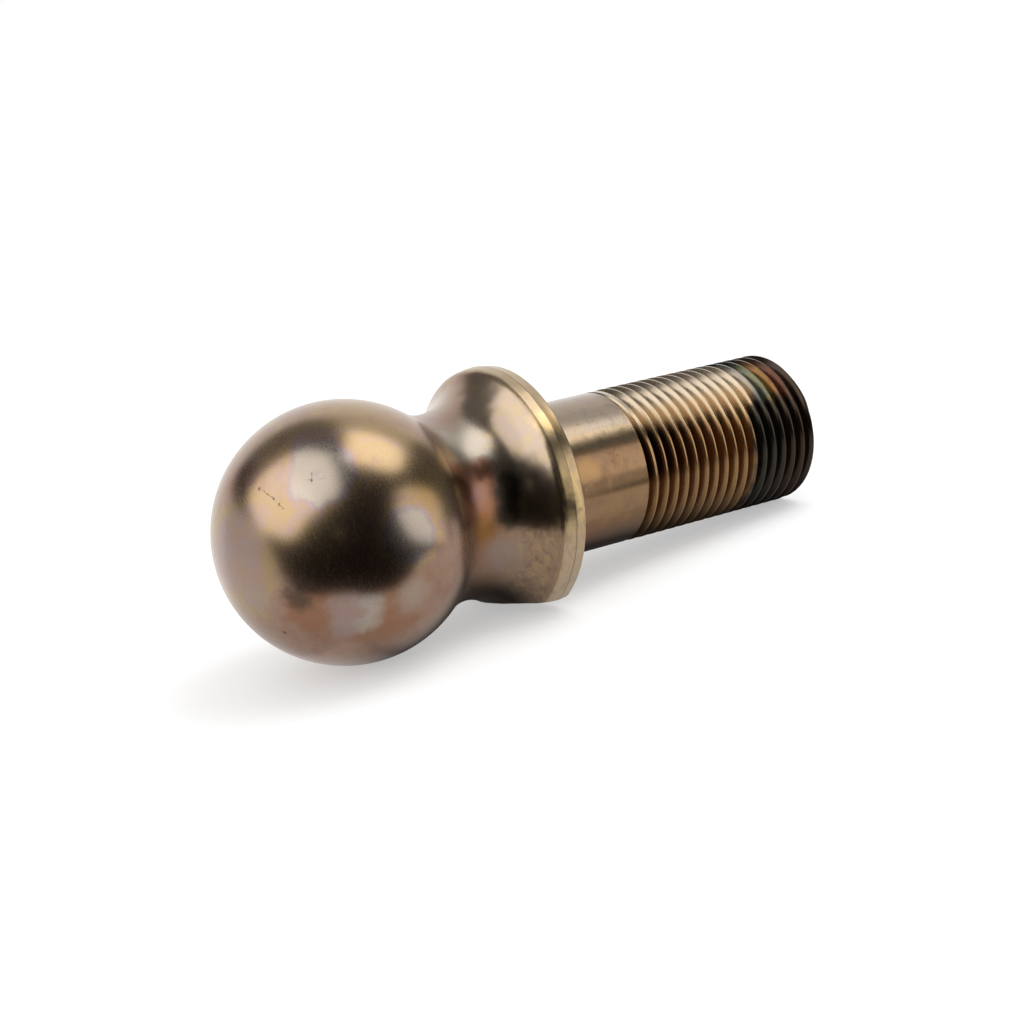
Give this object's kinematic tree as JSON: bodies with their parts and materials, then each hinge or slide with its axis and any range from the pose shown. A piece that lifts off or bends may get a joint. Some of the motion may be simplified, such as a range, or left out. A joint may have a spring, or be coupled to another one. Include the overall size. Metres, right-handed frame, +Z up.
{
  "type": "threaded ball stud",
  "caption": "Ball stud in one piece: a ball on a hollowed neck, a flange with one flat, a plain shank and a fine-threaded end. It carries a ball socket and is held by a nut.",
  "frame": {"origin": "middle of the ball", "axes": "+Z up as the stud lies at rest; +X level, from the ball towards the thread. The stud's own axis dips 5.28 degrees below +X, because the threaded end is thinner than the ball"},
  "size_m": [0.0763, 0.0292, 0.029],
  "materials": {
    "plated_steel": "semi-gloss yellow passivated zinc over forged and turned steel"
  },
  "bodies": {
    "root": {"ball_stud": "plated_steel"}
  },
  "joints": []
}
